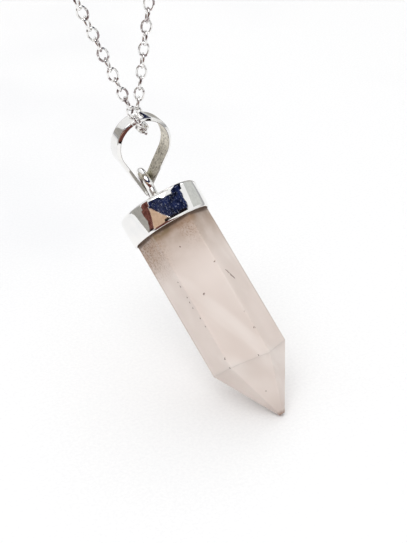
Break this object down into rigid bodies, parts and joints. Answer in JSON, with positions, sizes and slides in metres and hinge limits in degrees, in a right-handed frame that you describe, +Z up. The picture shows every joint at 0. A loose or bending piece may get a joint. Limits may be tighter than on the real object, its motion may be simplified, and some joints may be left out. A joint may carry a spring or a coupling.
{
  "type": "crystal point pendant on a chain",
  "caption": "Pale pink crystal point in a polished metal cap, hung by a ring and a drop-shaped bail on a fine link chain.",
  "frame": {"origin": "middle of the chain at the top of its loop, where the necklace hangs", "axes": "+Z up, X across the chain loop, -Y the side the chain comes down in front of the bail"},
  "size_m": [0.0852, 0.0256, 0.2264],
  "materials": {
    "quartz": "satin",
    "silver": "polished"
  },
  "bodies": {
    "necklace": {"chain": "silver", "clasp": "silver"},
    "bail": {"bail": "silver"},
    "drop": {"cap": "silver", "crystal": "quartz"}
  },
  "joints": [
    {"name": "bail_swing", "type": "hinge", "parent": "necklace", "child": "bail", "pos_m": [0.02054, 0, -0.19473], "axis": [0, 1, 0], "range_deg": [-40, 60]},
    {"name": "drop_swing", "type": "hinge", "parent": "bail", "child": "drop", "pos_m": [0.02124, -0.00005, -0.20271], "axis": [0.9216, -0.0902, 0.3774], "range_deg": [-36, 124]}
  ]
}
